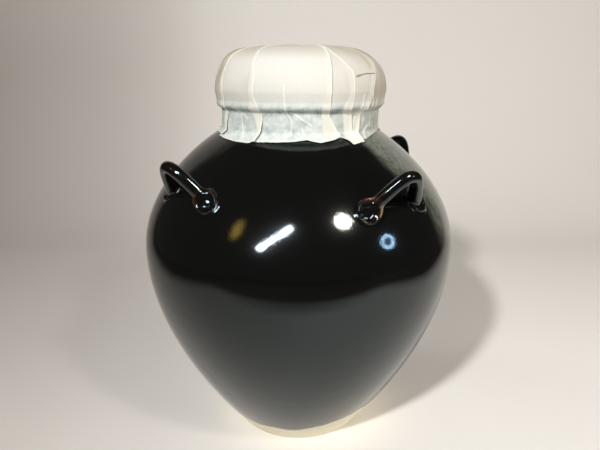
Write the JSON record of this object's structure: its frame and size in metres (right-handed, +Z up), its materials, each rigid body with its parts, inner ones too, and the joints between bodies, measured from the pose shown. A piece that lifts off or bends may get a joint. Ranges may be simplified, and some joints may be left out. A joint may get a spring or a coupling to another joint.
{
  "type": "tea storage jar",
  "caption": "Round-shouldered black-glazed stoneware tea storage jar with cord lugs on the shoulder and a wooden plug lid sealed by pasted paper strips.",
  "frame": {"origin": "middle of the flat foot, on the surface that the jar stands on", "axes": "+Z up the jar's axis through the lid; -Y is the front, with the lugs to either side of it"},
  "size_m": [0.24, 0.24, 0.3009],
  "materials": {
    "black_glaze": "polished",
    "lid_wood": "matte",
    "seal_paper": "matte"
  },
  "bodies": {
    "jar": {"jar_body": "black_glaze", "lug_front_left": "black_glaze", "lug_front_right": "black_glaze", "lug_back_right": "black_glaze", "lug_back_left": "black_glaze", "neck_strip_01": "seal_paper", "neck_strip_02": "seal_paper", "neck_strip_03": "seal_paper", "neck_strip_04": "seal_paper", "neck_strip_05": "seal_paper", "neck_strip_06": "seal_paper", "neck_strip_07": "seal_paper", "neck_strip_08": "seal_paper", "neck_strip_09": "seal_paper", "neck_strip_10": "seal_paper", "neck_strip_11": "seal_paper"},
    "lid": {"lid_core": "lid_wood", "lid_crown_paper": "seal_paper", "lid_strip_01": "seal_paper", "lid_strip_02": "seal_paper", "lid_strip_03": "seal_paper", "lid_strip_04": "seal_paper", "lid_strip_05": "seal_paper", "lid_strip_06": "seal_paper", "lid_strip_07": "seal_paper", "lid_strip_08": "seal_paper", "lid_strip_09": "seal_paper", "lid_strip_10": "seal_paper", "lid_strip_11": "seal_paper"}
  },
  "joints": [
    {"name": "lid_lift", "type": "slide", "parent": "jar", "child": "lid", "axis": [0, 0, 1], "range_m": [0, 0.12]}
  ]
}
